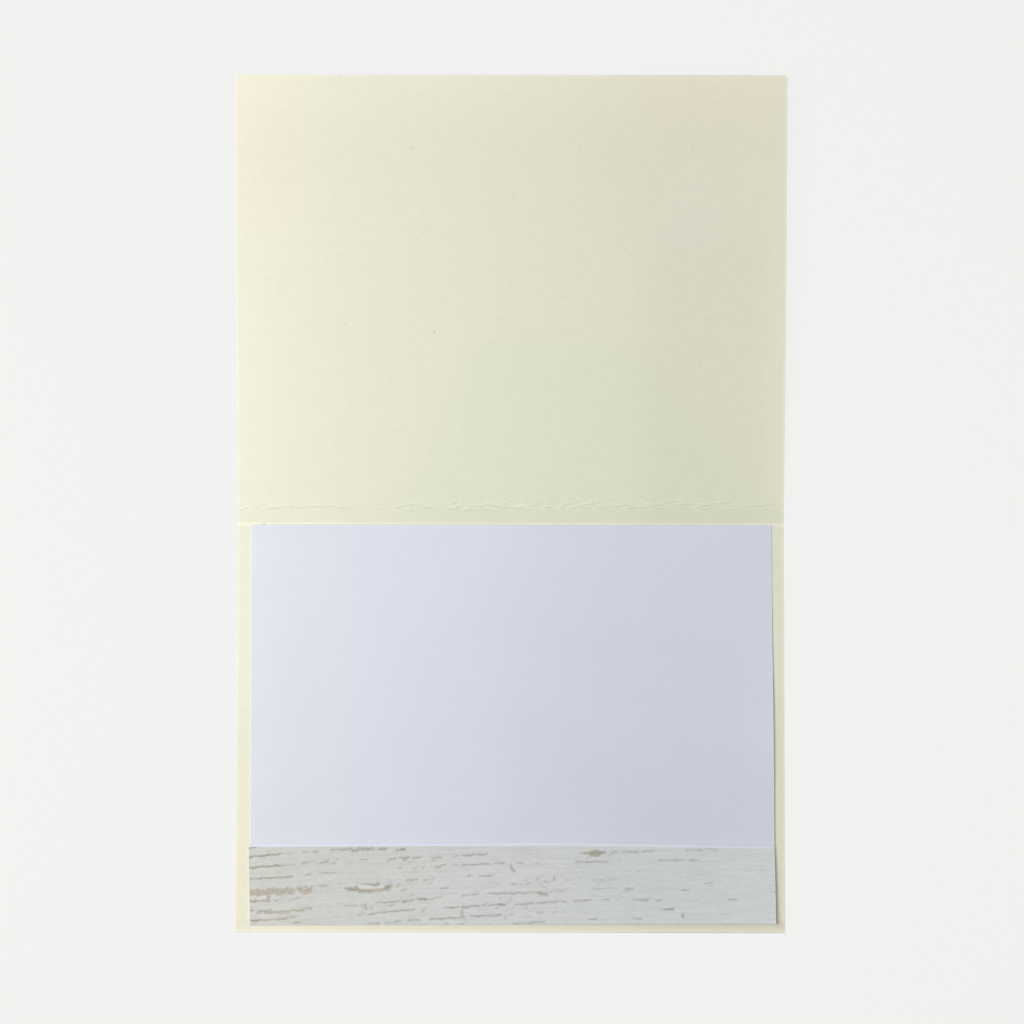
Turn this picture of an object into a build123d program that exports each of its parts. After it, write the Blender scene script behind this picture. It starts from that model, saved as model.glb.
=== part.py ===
from build123d import *
import os
from math import atan, cos, degrees, hypot, radians, sin

# A handmade greeting card, folded across its middle and lying open with its inside up.
# The back panel lies flat on the table. It carries a white message sheet, with a strip of
# wood-patterned paper across the foot of that sheet. The front panel springs up from the crease.
# X runs along the crease, +Y towards the front panel's free edge and +Z up. The origin is under
# the middle of the open card, at table height. Lengths are millimetres and angles are degrees.

# Card, one folded sheet
card_width = 139.7
back_panel = 108.0
front_panel = 109.5
card_thickness = 0.3
front_rise_at_crease = 4.5
front_rise_at_edge = 2.0
worn_corner_radius = 1.1

# Crease, a valley between two low shoulders, with buckled fibres across it
crease_band = 2.0
shoulder_height = 0.03
buckle_count = 34
buckle_length = 3.4
buckle_width = 0.6
buckle_height = 0.12
buckle_root = 0.03
buckle_slant = 12.0
buckle_turn_step = 7.0
crease_wander = 0.22
wander_waves = 5.5

# White message sheet, set in from the edges of the back panel and stuck on a little askew:
# its sides lean to the right towards the foot, and its foot climbs to the right
sheet_thickness = 0.25
sheet_margin_left = 3.53
sheet_margin_right = 3.17
sheet_margin_crease = 4.47
sheet_margin_foot = 1.9
sheet_lean = 0.36
sheet_foot_climb = 0.62

# Double-sided tape
tape_thickness = 0.1
tape_width = 6.0
tape_inset = 4.0
tape_gap = 2.0
strip_tape_inset = 5.0

# Loose corner at the right foot of the sheet, where no tape holds it down
loose_along_foot = 30.0
loose_up_side = 40.0
corner_lift = 0.35
curl_spare = 6.0

# Patterned strip, cut by hand: its ends lean and it is a little wider at its left end.
# It stands out past the foot of the sheet
strip_thickness = 0.2
strip_height_left = 20.07
strip_height_right = 19.47
strip_overhang_left = 0.02
strip_overhang_right = 0.31
strip_overhang_foot = 0.1
strip_lean_left = 0.44
strip_lean_right = 0.25

# Print of the strip. The grain climbs at the left end and runs level from a point further right
print_depth = 0.03
grain_slope = 0.085
grain_level_from = 95.0
crack_taper = 0.3
# Cracks in the paint, from the strip's upper left corner: start, depth, length, width
cracks = [
    (-1.0, 2.8, 9.4, 0.45),
    (-1.0, 5.4, 12.5, 0.45),
    (-1.0, 8.5, 11.7, 0.4),
    (-1.0, 19.0, 12.7, 0.5),
    (-1.0, 0.3, 4.6, 0.35),
    (16.2, 13.6, 3.2, 0.3),
    (20.6, 0.8, 5.6, 0.35),
    (26.5, 1.0, 5.3, 0.6),
    (32.8, 0.8, 2.8, 0.5),
    (36.7, 0.8, 2.8, 0.6),
    (17.9, 4.1, 2.9, 0.35),
    (17.6, 6.8, 4.2, 0.3),
    (35.7, 3.6, 8.4, 0.5),
    (33.4, 14.2, 12.0, 0.4),
    (23.9, 14.9, 4.0, 0.3),
    (30.8, 16.7, 11.4, 0.3),
    (34.4, 19.4, 4.1, 0.4),
    (39.7, 8.4, 3.3, 0.3),
    (45.8, 18.3, 8.2, 0.4),
    (54.8, 17.9, 9.4, 0.4),
    (46.3, 5.1, 3.4, 0.5),
    (49.7, 15.5, 10.7, 0.5),
    (54.1, 2.3, 6.5, 0.4),
    (54.1, 4.6, 10.8, 0.35),
    (58.6, 7.4, 3.6, 0.3),
    (54.0, 12.5, 4.3, 0.35),
    (60.9, 12.0, 13.2, 0.35),
    (61.2, 15.1, 4.6, 0.5),
    (67.7, 14.8, 4.7, 0.3),
    (66.7, 19.6, 7.4, 0.3),
    (73.5, 14.5, 6.8, 0.35),
    (81.9, 14.2, 5.0, 0.4),
    (83.4, 3.9, 8.2, 0.3),
    (87.1, 8.6, 3.6, 0.3),
    (87.1, 10.7, 10.4, 0.3),
    (95.0, 1.3, 4.4, 0.4),
    (99.9, 1.3, 3.1, 0.35),
    (104.4, 3.6, 6.1, 0.35),
    (97.5, 13.6, 4.2, 0.35),
    (103.4, 13.8, 2.2, 0.4),
    (111.3, 0.9, 4.5, 0.35),
    (112.2, 3.3, 2.4, 0.3),
    (109.8, 11.0, 2.2, 0.3),
    (104.9, 16.0, 3.2, 0.3),
    (116.2, 9.2, 1.8, 0.3),
    (121.7, 13.5, 2.3, 0.4),
]
# Bare brown patches, measured in the same way
patches = [
    (-4.0, 12.1, 15.4, 1.6),
    (11.6, 11.5, 4.7, 1.2),
    (-2.0, 14.4, 7.4, 0.7),
    (-1.0, 16.8, 16.6, 1.0),
    (24.2, 11.0, 12.1, 1.9),
    (85.4, 1.8, 4.9, 1.5),
    (74.6, 12.0, 2.4, 0.8),
    (109.8, 17.7, 1.1, 1.1),
]
# Whitewash left in the middle of the knot
knot_wash = (27.5, 10.5, 6.8, 0.7)

# Outline of the card in its own frame
shoulder_run = crease_band / 4
shoulder_angle = degrees(2 * atan(shoulder_height / shoulder_run))
crease_radius = shoulder_run / (2 * sin(radians(shoulder_angle)))
front_radius = (front_panel - crease_band / 2) / radians(front_rise_at_crease - front_rise_at_edge)

# Bends of the underside, from the flat back panel to the free edge: radius and closing slope
back_bends = [
    (crease_radius, shoulder_angle),
    (crease_radius, -shoulder_angle),
    (crease_radius, 0.0),
]
front_bends = [
    (crease_radius, front_rise_at_crease + shoulder_angle),
    (crease_radius, front_rise_at_crease - shoulder_angle),
    (crease_radius, front_rise_at_crease),
    (front_radius, front_rise_at_edge),
]


def run_of(bends):
    """Length along Y that a row of bends covers, from a level start."""
    slope = 0.0
    run = 0.0
    for radius, next_slope in bends:
        run += radius * abs(sin(radians(next_slope)) - sin(radians(slope)))
        slope = next_slope
    return run


front_reach = run_of(front_bends)
card_right = card_width / 2
card_left = -card_right
crease_y = (back_panel - front_reach) / 2
card_foot = crease_y - back_panel

# Message sheet, strip and tape, set from the back panel's edges. Corners run from the upper
# left one over the upper right one
sheet_left = card_left + sheet_margin_left
sheet_right = card_right - sheet_margin_right
sheet_top = crease_y - sheet_margin_crease
foot_left = Vector(sheet_left + sheet_lean, card_foot + sheet_margin_foot)
foot_right = Vector(sheet_right + sheet_lean, foot_left.Y + sheet_foot_climb)
sheet_corners = [
    (sheet_left, sheet_top),
    (sheet_right, sheet_top),
    (foot_right.X, foot_right.Y),
    (foot_left.X, foot_left.Y),
]
sheet_base = card_thickness + tape_thickness
strip_base = sheet_thickness + tape_thickness
strip_left = foot_left.X - strip_overhang_left
strip_right = foot_right.X + strip_overhang_right
strip_foot_left = foot_left.Y - strip_overhang_foot
strip_foot_right = foot_right.Y - strip_overhang_foot
strip_corners = [
    (strip_left - strip_lean_left, strip_foot_left + strip_height_left),
    (strip_right - strip_lean_right, strip_foot_right + strip_height_right),
    (strip_right, strip_foot_right),
    (strip_left, strip_foot_left),
]
strip_corner = Vector(*strip_corners[0])

# Bend that lifts the loose corner, about a slanted line
loose_side = hypot(loose_along_foot, loose_up_side)
curl_reach = loose_along_foot * loose_up_side / loose_side
curl_radius = (curl_reach**2 + corner_lift**2) / (2 * corner_lift)
curl_angle = degrees((curl_reach + curl_spare) / curl_radius)
curl_plane = Plane(
    origin=(foot_right.X, foot_right.Y, sheet_base),
    x_dir=(loose_up_side, -loose_along_foot, 0),
    z_dir=(-loose_along_foot, -loose_up_side, 0),
)
stack_span = hypot(card_width, back_panel)
stack_depth = sheet_base + strip_base + strip_thickness + 2 * corner_lift


def lifted_layer(height, thickness):
    """Side view of a layer of the stack: flat, then bent up towards the loose corner."""
    with BuildSketch(curl_plane) as layer:
        with BuildLine():
            flat = Line((-stack_span, height), (-curl_reach, height))
            JernArc(flat @ 1, flat % 1, curl_radius - height, curl_angle)
            offset(amount=thickness, side=Side.LEFT)
        make_face()
    return layer.sketch


def grain_end(start, length):
    """Climb of a mark in the grain, from its start to its right end."""
    return length * grain_slope * max(0.0, 1 - start / grain_level_from)


def crack(start, depth, length, width):
    """A crack in the paint, a sliver along the grain with pointed ends."""
    slant = degrees(atan(grain_end(start, length) / length))
    shoulder = length * crack_taper
    flank = width / 2
    outline = [
        (0, 0),
        (shoulder, -flank),
        (length - shoulder, -flank),
        (length, 0),
        (length - shoulder, flank),
        (shoulder, flank),
    ]
    with BuildSketch() as sliver:
        with Locations(Location(strip_corner + Vector(start, -depth), slant)):
            Polygon(*outline, align=None)
    return sliver.sketch


def patch(start, depth, length, width):
    """A rounded patch without paint, drawn out along the grain."""
    climb = grain_end(start, length)
    middle = strip_corner + Vector(start + length / 2, climb / 2 - depth)
    with BuildSketch() as field:
        with Locations(middle):
            Ellipse(length / 2, width / 2, rotation=degrees(atan(climb / length)))
    return field.sketch


os.makedirs("parts", exist_ok=True)

# Card
with BuildPart() as card_base:
    with BuildSketch(Plane.YZ):
        with BuildLine() as underside:
            Line((card_foot, 0), (crease_y - crease_band / 2, 0))
            slope = 0.0
            for radius, next_slope in back_bends + front_bends:
                end = underside.edges()[-1]
                JernArc(end @ 1, end % 1, radius, next_slope - slope)
                slope = next_slope
            offset(amount=card_thickness, side=Side.LEFT)
        make_face()
    extrude(amount=card_width / 2, both=True)
    free_edge = card_base.faces().sort_by(Axis.Y)[-1]
    fillet(free_edge.edges().sort_by(Axis.X)[-1], worn_corner_radius)
    # Buckled fibres of the crease, low ridges that wander along the valley
    root_height = card_thickness - buckle_root
    tip = buckle_length / 2
    flank = buckle_width / 2
    buckle_outline = [(-tip, 0), (0, -flank), (tip, 0), (0, flank)]
    buckles = []
    for index in range(buckle_count):
        share = (index + 0.5) / buckle_count
        wander = crease_wander * sin(radians(360 * wander_waves * share))
        turn = buckle_slant * cos(index * buckle_turn_step)
        middle = Vector(card_left + card_width * share, crease_y + wander, root_height)
        with BuildSketch(Plane(middle).rotated((0, 0, turn))) as foot:
            Polygon(*buckle_outline)
        peak = middle + Vector(0, 0, buckle_root + buckle_height)
        buckles.append(loft(sections=[foot.sketch, Vertex(*peak)], mode=Mode.PRIVATE))
    add(buckles)
card_base.part.label = "card_base"
export_step(card_base.part, "parts/card_base.step")

# White message sheet, with its loose corner
with BuildPart() as message_panel:
    with BuildSketch():
        Polygon(*sheet_corners, align=None)
    extrude(amount=stack_depth)
    extrude(lifted_layer(0, sheet_thickness), amount=stack_span, both=True, mode=Mode.INTERSECT)
message_panel.part.label = "message_panel"
export_step(message_panel.part, "parts/message_panel.step")

# Tape strips between the card and the message sheet: left, right, foot and top ends of each
inner_left = foot_left.X + tape_inset
inner_right = sheet_right - tape_inset
inner_foot = foot_right.Y + tape_inset
inner_top = sheet_top - tape_inset
between = tape_width + tape_gap
sheet_tapes = {
    "sheet_tape_top": (inner_left, inner_right, inner_top - tape_width, inner_top),
    "sheet_tape_bottom": (
        inner_left,
        foot_right.X - loose_along_foot,
        inner_foot,
        inner_foot + tape_width,
    ),
    "sheet_tape_left": (inner_left, inner_left + tape_width, inner_foot + between, inner_top - between),
    "sheet_tape_right": (
        inner_right - tape_width,
        inner_right,
        foot_right.Y + loose_up_side,
        inner_top - between,
    ),
}
for name, (left, right, bottom, top) in sheet_tapes.items():
    with BuildPart() as sheet_tape:
        with BuildSketch(Plane.XY.offset(card_thickness)):
            with Locations(((left + right) / 2, (bottom + top) / 2)):
                Rectangle(right - left, top - bottom)
        extrude(amount=tape_thickness)
    sheet_tape.part.label = name
    export_step(sheet_tape.part, f"parts/{name}.step")

# Tape between the message sheet and the patterned strip, along the strip's middle
tape_layer = lifted_layer(sheet_thickness, tape_thickness)
strip_middle = (strip_foot_left + strip_foot_right + strip_height_left) / 2
with BuildPart() as strip_tape:
    with BuildSketch():
        with Locations(((strip_left + strip_right) / 2, strip_middle)):
            Rectangle(strip_right - strip_left - 2 * strip_tape_inset, tape_width)
    extrude(amount=stack_depth)
    extrude(tape_layer, amount=stack_span, both=True, mode=Mode.INTERSECT)
strip_tape.part.label = "strip_tape"
export_step(strip_tape.part, "parts/strip_tape.step")

# Print of the strip, as deep as the ink: fields of bare wood, and cracks where no such field lies
print_layer = lifted_layer(strip_base + strip_thickness - print_depth, print_depth)
with BuildPart() as print_patches:
    with BuildSketch():
        add([patch(*place) for place in patches])
        add(patch(*knot_wash), mode=Mode.SUBTRACT)
        Polygon(*strip_corners, align=None, mode=Mode.INTERSECT)
    extrude(amount=stack_depth)
    extrude(print_layer, amount=stack_span, both=True, mode=Mode.INTERSECT)
print_patches.part.label = "print_patches"
export_step(print_patches.part, "parts/print_patches.step")

with BuildPart() as print_cracks:
    with BuildSketch():
        add([crack(*place) for place in cracks])
        add([patch(*place) for place in patches], mode=Mode.SUBTRACT)
        Polygon(*strip_corners, align=None, mode=Mode.INTERSECT)
    extrude(amount=stack_depth)
    extrude(print_layer, amount=stack_span, both=True, mode=Mode.INTERSECT)
print_cracks.part.label = "print_cracks"
export_step(print_cracks.part, "parts/print_cracks.step")

# Patterned strip across the foot of the message sheet, with the print let into its face
with BuildPart() as wood_strip:
    with BuildSketch():
        Polygon(*strip_corners, align=None)
    extrude(amount=stack_depth)
    extrude(lifted_layer(strip_base, strip_thickness), amount=stack_span, both=True, mode=Mode.INTERSECT)
    add([print_patches.part, print_cracks.part], mode=Mode.SUBTRACT)
wood_strip.part.label = "wood_strip"
export_step(wood_strip.part, "parts/wood_strip.step")
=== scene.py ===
"""A handmade greeting card lying open with its inside up, seen from straight above.

Lengths are millimetres until they are written into a mesh, which is in metres. X runs along the
crease, +Y towards the front panel's free edge and +Z up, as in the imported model.
"""
from math import atan, cos, hypot, pi, radians, sin

import bpy
import numpy as np
from mathutils import Euler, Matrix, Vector


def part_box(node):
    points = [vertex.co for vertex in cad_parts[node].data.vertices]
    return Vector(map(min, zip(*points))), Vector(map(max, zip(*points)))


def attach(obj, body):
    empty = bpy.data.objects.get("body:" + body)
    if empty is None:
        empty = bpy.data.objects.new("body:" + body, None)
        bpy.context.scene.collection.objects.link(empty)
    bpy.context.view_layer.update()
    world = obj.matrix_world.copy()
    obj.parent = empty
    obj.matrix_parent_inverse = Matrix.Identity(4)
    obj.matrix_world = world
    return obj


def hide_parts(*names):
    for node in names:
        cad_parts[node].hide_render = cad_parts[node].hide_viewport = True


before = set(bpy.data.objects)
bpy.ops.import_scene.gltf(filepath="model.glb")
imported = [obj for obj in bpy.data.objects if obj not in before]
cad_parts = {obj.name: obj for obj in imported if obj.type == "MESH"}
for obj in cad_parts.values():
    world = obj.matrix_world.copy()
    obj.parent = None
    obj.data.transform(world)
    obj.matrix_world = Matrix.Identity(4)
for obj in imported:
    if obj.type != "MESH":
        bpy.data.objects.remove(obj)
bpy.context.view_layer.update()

MM = 0.001
BODY = "root"

# Camera of the photograph: place, turn in degrees and focal length in pixels of the square picture
PICTURE_SIDE = 1024
FOCAL_PIXELS = 1169.97
SENSOR = 36.0
CAMERA_PLACE = Vector((0.815, -9.127, 300.0))
CAMERA_TURN = Euler([radians(turn) for turn in (1.389, 0.098, 0.098)])

# Light: an even room, a soft window on the left and a weak low one on the right, each with its name,
# place, size and level. A level of 1 shows a colour as it is written
ROOM_LEVEL = 0.315
WINDOWS = (
    ("key_window", Vector((-318, -34, 430)), (210, 320), 0.638),
    ("fill_window", Vector((230, -40, 120)), (150, 100), 0.018),
)
BACKDROP = (0.892, 0.892, 0.876)
FLOOR_SELF_LIT = 0.95
FLOOR_DROP = 0.02
FLOOR_SIDE = 6000.0

# Card section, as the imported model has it
BACK_PANEL = 108.0
FRONT_PANEL = 109.5
CARD_THICKNESS = 0.3
RISE_AT_CREASE = 4.5
RISE_AT_EDGE = 2.0
WORN_CORNER = 1.1
CREASE_BAND = 2.0
SHOULDER_HEIGHT = 0.03

# Mesh steps, along and up
EDGE_STEPS = (0.0, 0.05, 0.12, 0.22, 0.36, 0.6, 0.9)
CARD_STEPS = (0.31, 2.6)
CREASE_STEP = 0.09
CREASE_ZONE = 2.7
SHEET_STEPS = (0.8, 0.8)
STRIP_STEPS = (0.3, 0.14)

# Cut edges: the burr that a trimmer leaves, an edge that it pressed down, the card's free edge,
# pressed deeper and rising more slowly, the ridge behind the card's foot, and the painted highlight on a cut
LIP_WIDTH = 0.22
LIP_HEIGHT = 0.015
PRESSED_WIDTH = 0.5
PRESSED_DEPTH = 0.06
FREE_EDGE_DEEPER = 1.2
FREE_EDGE_SLOWER = 0.6
FOOT_RIDGE_HEIGHT = 0.02
FOOT_RIDGE_PLACE = 0.55
FOOT_RIDGE_WIDTH = 0.2
RIM_WIDTH = 0.24

# White message sheet, stuck on a little askew, and the bend of its loose corner
SHEET_THICKNESS = 0.25
SHEET_LEANS = (0.36, 0.36)
FOOT_CLIMB = 0.62
LOOSE_ALONG_FOOT = 30.0
LOOSE_UP_SIDE = 40.0
CORNER_LIFT = 0.42
SIDE_LIFT_WIDTH = 9.0
SIDE_LIFT_DOWN = (0, 14, 30, 47, 61, 73, 81, 101)
SIDE_LIFT = (-0.2, -0.18, -0.02, 0.25, 0.2, 0.04, 0, 0)
SIDE_OUT = (0, 0, 0, 0.08, 0.15, 0.16, 0.14, 0.05)
SHEET_REST = 0.31
COCKLE_HEIGHT = 0.05
COCKLE_ACROSS = 71
COCKLE_UP = 57
COCKLE_FADE = 12

# Patterned strip: its height over the table, its thickness, its leaning ends, its top edge, which
# bows at places along it, its sunken top right corner, the painted shade and highlight lines of its foot, the
# run of its grain
STRIP_BASE = 0.75
STRIP_THICKNESS = 0.2
STRIP_LEANS = (0.44, 0.25)
STRIP_TOP_CLIMB = 0.02
STRIP_TOP_SLANT = 0.65
STRIP_TOP_BOW = (
    (0, 11, 41, 56, 74, 99, 114, 124, 134),
    (-0.2, -0.18, 0.1, 0.12, 0.24, 0.12, -0.18, -0.34, -0.38),
)
STRIP_CORNER_DOWN = 7.0
STRIP_CORNER_SINKS = 0.15
FOOT_SHADE_WIDTH = 0.3
FOOT_HIGHLIGHT_PLACE = 0.75
FOOT_HIGHLIGHT_WIDTH = 0.2
GRAIN_SLOPE = 0.085
GRAIN_LEVEL_FROM = 95.0

# The print is 0.6% shorter than its marks' measures, leans a little and narrows to the right
PRINT_LENGTH = 1.0057
PRINT_LEAN = -0.0123
PRINT_NARROWING = 0.000215


def link(thing):
    bpy.context.scene.collection.objects.link(thing)
    return thing


# Camera and light


def photo_camera():
    data = bpy.data.cameras.new("photo_camera")
    data.sensor_width = SENSOR
    data.lens = FOCAL_PIXELS * SENSOR / PICTURE_SIDE
    data.clip_start = 0.01
    data.clip_end = 20.0
    camera = link(bpy.data.objects.new("photo_camera", data))
    camera.location = CAMERA_PLACE * MM
    camera.rotation_euler = CAMERA_TURN
    bpy.context.scene.camera = camera


def soft_window(name, place, size, level):
    """A soft lamp aimed at the card's middle, where it lights a level surface to this level."""
    data = bpy.data.lights.new(name, "AREA")
    data.shape = "RECTANGLE"
    data.size, data.size_y = (side * MM for side in size)
    distance = place.length * MM
    data.energy = level * pi**2 * distance**2 * place.length / place.z
    lamp = link(bpy.data.objects.new(name, data))
    lamp.location = place * MM
    lamp.rotation_euler = place.to_track_quat("Z", "Y").to_euler()


def seen_ray(tree):
    """1 where the camera, or a reflection or glass, looks straight at the surface."""
    rays = node(tree, "ShaderNodeLightPath").outputs
    first = math_node("MAXIMUM", rays["Is Camera Ray"], rays["Is Glossy Ray"])
    return math_node("MAXIMUM", first, rays["Is Transmission Ray"])


def room_light():
    world = bpy.data.worlds.new("room")
    bpy.context.scene.world = world
    world.use_nodes = True
    tree = world.node_tree
    tree.nodes.clear()
    room = node(tree, "ShaderNodeBackground", {"Color": (1, 1, 1, 1), "Strength": ROOM_LEVEL})
    shown = node(tree, "ShaderNodeBackground", {"Color": colour(*BACKDROP)})
    both = node(tree, "ShaderNodeMixShader", {0: seen_ray(tree), 1: room.outputs[0], 2: shown.outputs[0]})
    node(tree, "ShaderNodeOutputWorld", {"Surface": both.outputs[0]})


def pale_floor():
    """Pale floor that shows the picture's flat background and keeps a soft shadow."""
    half = FLOOR_SIDE / 2 * MM
    mesh = bpy.data.meshes.new("floor")
    corners = [(-half, -half), (half, -half), (half, half), (-half, half)]
    mesh.from_pydata([(x, y, -FLOOR_DROP * MM) for x, y in corners], [], [(0, 1, 2, 3)])
    floor = link(bpy.data.objects.new("floor", mesh))
    made, tree = new_material("pale_floor")
    matt = node(tree, "ShaderNodeBsdfDiffuse", {"Color": colour(*BACKDROP)})
    glow = node(tree, "ShaderNodeEmission", {"Color": colour(*BACKDROP)})
    share = product(seen_ray(tree), FLOOR_SELF_LIT)
    both = node(tree, "ShaderNodeMixShader", {0: share, 1: matt.outputs[0], 2: glow.outputs[0]})
    surface(both.outputs[0])
    mesh.materials.append(made)


# Material tools. Most take the node tree from the socket that they are given


def new_material(name):
    made = bpy.data.materials.new(name)
    made.use_nodes = True
    made.node_tree.nodes.clear()
    return made, made.node_tree


def node(tree, kind, inputs=None, **settings):
    """Adds a node. Each input is a value, or a socket to link."""
    made = tree.nodes.new(kind)
    for key, value in settings.items():
        setattr(made, key, value)
    for key, value in (inputs or {}).items():
        if isinstance(value, bpy.types.NodeSocket):
            tree.links.new(value, made.inputs[key])
        else:
            made.inputs[key].default_value = value
    return made


def surface(shader):
    node(shader.id_data, "ShaderNodeOutputMaterial", {"Surface": shader})


def stored(tree, name, output="Fac"):
    """What the mesh stores at its points under this name."""
    return node(tree, "ShaderNodeAttribute", attribute_name=name).outputs[output]


def card_place(tree):
    """Place on the object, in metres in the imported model's frame."""
    return node(tree, "ShaderNodeTexCoord").outputs["Object"]


def right_and_up(place):
    """How far a place is to the right of the card's middle and up from it, in millimetres."""
    axes = node(place.id_data, "ShaderNodeSeparateXYZ", {0: place}).outputs
    return product(axes["X"], 1 / MM), product(axes["Y"], 1 / MM)


def math_node(operation, first, second=0.0):
    return node(first.id_data, "ShaderNodeMath", {0: first, 1: second}, operation=operation).outputs[0]


def product(first, *factors):
    for factor in factors:
        first = math_node("MULTIPLY", first, factor)
    return first


def ramp(value, low, high, to_low=0.0, to_high=1.0, kind="SMOOTHSTEP"):
    """Goes from one level to the other while the value goes from low to high."""
    limits = {"Value": value, "From Min": low, "From Max": high, "To Min": to_low, "To Max": to_high}
    return node(value.id_data, "ShaderNodeMapRange", limits, interpolation_type=kind).outputs["Result"]


def within(value, start, full_from, full_to, end):
    """1 between the two middle values, and 0 outside the other two."""
    return product(ramp(value, start, full_from), ramp(value, end, full_to))


def toned(share, level, kind="SMOOTHSTEP"):
    """Factor that goes from 1 to this level with a share."""
    return ramp(share, 0.0, 1.0, 1.0, level, kind)


def swing(value, amount, low=0.25, high=0.75):
    """Factor that goes from 1 less an amount to 1 more while the value goes from low to high."""
    return ramp(value, low, high, 1 - amount, 1 + amount, "LINEAR")


def grain(place, sizes, detail=2, roughness=0.5):
    """Noise whose features are about as long as sizes, in millimetres along X, Y and Z."""
    scale = [1 / (size * MM) for size in sizes]
    spread = node(place.id_data, "ShaderNodeMapping", {"Vector": place, "Scale": scale})
    noise = node(
        place.id_data, "ShaderNodeTexNoise",
        {"Vector": spread.outputs[0], "Scale": 1.0, "Detail": detail, "Roughness": roughness},
    )
    return noise.outputs["Fac"]


def colour(*rgb):
    return (*rgb, 1.0)


def mix(tree, share, first, second, how):
    """Mix of two colours. Factor, A and B of a colour mix are its sockets 0, 6 and 7."""
    made = node(tree, "ShaderNodeMix", {0: share, 6: first, 7: second}, data_type="RGBA", blend_type=how)
    return made.outputs[2]


def blend(share, first, second):
    return mix(share.id_data, share, first, second, "MIX")


def shaded(tint, shade):
    """A colour made lighter or darker by a factor near 1."""
    tree = shade.id_data
    grey = node(tree, "ShaderNodeCombineColor", {0: shade, 1: shade, 2: shade}).outputs[0]
    return mix(tree, 1.0, tint, grey, "MULTIPLY")


def paper_shader(tint, height, depth, roughness=0.86, shine=0.22):
    """Matt paper with a fine relief of this depth."""
    tree = height.id_data
    relief = node(tree, "ShaderNodeBump", {"Height": height, "Distance": depth * MM, "Strength": 1.0})
    shader = node(
        tree, "ShaderNodeBsdfPrincipled",
        {"Base Color": tint, "Normal": relief.outputs[0], "Roughness": roughness,
         "Specular IOR Level": shine},
    )
    surface(shader.outputs[0])


def painted_light_outwards(x, y):
    """Painted light: all the paper is lighter towards the card's sides and free edge."""
    shade = 1.0
    for value, start, edge, amount in ((x, -35, -69.5, 0.05), (x, 35, 69.5, 0.06), (y, 88, 108.7, 0.06)):
        near = math_node("POWER", ramp(value, start, edge, kind="LINEAR"), 1.5)
        shade = math_node("ADD", product(near, amount), shade)
    return shade


def cream_tint(place, x, y):
    """Cream that is warmer at the card's top corners and foot, and greener above the crease."""
    clouds = grain(place, (38, 30, 30), detail=1)
    tint = blend(ramp(clouds, 0.3, 0.7), colour(0.798, 0.792, 0.638), colour(0.806, 0.794, 0.649))
    left_corner = product(ramp(x, -40, -62), ramp(y, 45, 85))
    right_corner = product(ramp(x, 12, 40), ramp(y, 70, 100))
    near_crease = product(
        ramp(math_node("SUBTRACT", x, product(y, 0.45)), -38, -20),
        ramp(math_node("ADD", x, product(y, 0.9)), 90, 53),
        within(y, -7.5, -3, 33, 55),
    )
    for share, other in (
        (math_node("ADD", left_corner, right_corner), colour(0.813, 0.777, 0.638)),
        (near_crease, colour(0.773, 0.788, 0.628)),
        (ramp(y, -45, -90), colour(0.818, 0.788, 0.632)),
    ):
        tint = blend(share, tint, other)
    return tint


def cream_fields(x, y):
    """Painted light and shade on the card: darker below the crease and lighter towards the free edge,
    painted shade beside the crease, on the right, low on the side margins and under the strip, painted
    highlights above the sheet and along the right and free cut edges, and a painted highlight line and
    a painted shadow line at the foot.
    """
    back_panel_shade = ramp(y, 0.3, -3.2, 1, 0.992)
    front_panel_light = ramp(y, 0, 108.7, 1.012, 1.06, "LINEAR")
    crease_side_shade = product(within(y, -5.2, -4.7, -1.8, -0.5), ramp(x, -45, -15))
    sheet_top_light = within(y, -5.7, -5.3, -4.8, -4.4)
    right_field_shade = product(within(x, 25, 45, 61, 68), ramp(y, 90, 55))
    side_margin_shade = product(ramp(math_node("ABSOLUTE", x), 65, 67), ramp(y, -35, -70))
    strip_shade = product(within(y, -108.2, -106.4, -106, -105.6), ramp(x, -50, 50, 0.45, 1))
    foot_highlight_line = within(y, -108.6, -108.5, -108.2, -108)
    foot_shadow_line = product(ramp(y, -108.55, -108.65), ramp(x, 0, 45))
    # Painted highlights where light catches the right and free cut edges
    rim = math_node("ADD", ramp(x, 68.9, 69.8), ramp(y, 107.8, 108.6))
    return product(
        painted_light_outwards(x, y), back_panel_shade, front_panel_light,
        toned(crease_side_shade, 0.985), toned(sheet_top_light, 1.09), toned(right_field_shade, 0.97),
        toned(side_margin_shade, 0.964), toned(strip_shade, 0.9), toned(foot_highlight_line, 1.1), toned(foot_shadow_line, 0.75),
        toned(rim, 1.065, "LINEAR"),
    )


def cream_cardstock():
    """Smooth uncoated cream stock, with painted shade and highlights of the crinkles and folds at its crease.
    """
    made, tree = new_material("cream_cardstock")
    place = card_place(tree)
    x, y = right_and_up(place)
    mottle = grain(place, (2.6, 2, 2), detail=3, roughness=0.6)
    fibres = grain(place, (0.9, 0.5, 0.5), detail=3, roughness=0.7)
    wrinkles = grain(place, (1.5, 0.32, 1.0), detail=3, roughness=0.6)
    crinkle_shade_band = product(within(y, -2.6, -1.4, 1.2, 2.8), ramp(x, -30, 10, 0.5, 1))
    # Painted shade and highlight of the crease's crinkles, from stretched noise
    worn = product(crinkle_shade_band, ramp(wrinkles, 0.32, 0.68, -1, 1, "LINEAR"))
    shade = product(
        cream_fields(x, y),
        ramp(mottle, 0.3, 0.7, 0.985, 1.012, "LINEAR"),
        swing(fibres, 0.015), swing(worn, 0.058, -1, 1),
        # Painted shade and highlight of the folds
        swing(stored(tree, "painted_fold_light"), 0.11, -1, 1),
    )
    paper_shader(shaded(cream_tint(place, x, y), shade), fibres, 0.006)
    return made


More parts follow.
